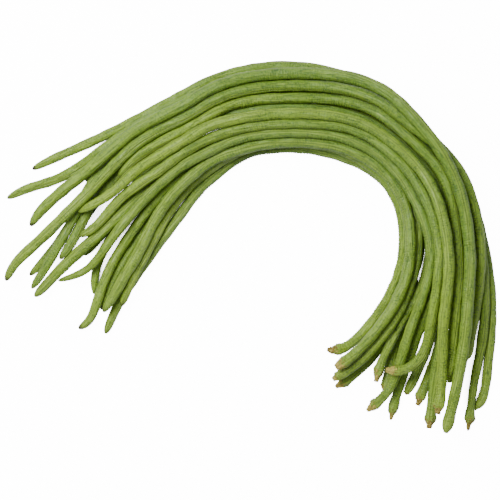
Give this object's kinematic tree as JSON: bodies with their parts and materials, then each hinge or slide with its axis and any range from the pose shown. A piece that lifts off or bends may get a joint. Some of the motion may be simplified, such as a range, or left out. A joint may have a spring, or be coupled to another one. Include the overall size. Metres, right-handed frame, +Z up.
{
  "type": "yardlong bean bunch",
  "caption": "Loose bunch of long slender green bean pods lying in one wide arch, stub ends fanned at one side and tips at the other.",
  "frame": {"origin": "on the surface that the bunch lies on, under the middle of its box", "axes": "+X along the bunch's longest side, towards the stub ends; +Y towards the top of the arch; +Z up"},
  "size_m": [0.369, 0.279, 0.0461],
  "materials": {
    "pod_skin": "satin"
  },
  "bodies": {
    "root": {"bean_01": "pod_skin", "bean_02": "pod_skin", "bean_03": "pod_skin", "bean_04": "pod_skin", "bean_05": "pod_skin", "bean_06": "pod_skin", "bean_07": "pod_skin", "bean_08": "pod_skin", "bean_09": "pod_skin", "bean_10": "pod_skin", "bean_11": "pod_skin", "bean_12": "pod_skin", "bean_13": "pod_skin", "bean_14": "pod_skin", "bean_15": "pod_skin", "bean_16": "pod_skin", "bean_17": "pod_skin", "bean_18": "pod_skin", "bean_19": "pod_skin", "bean_20": "pod_skin"}
  },
  "joints": []
}
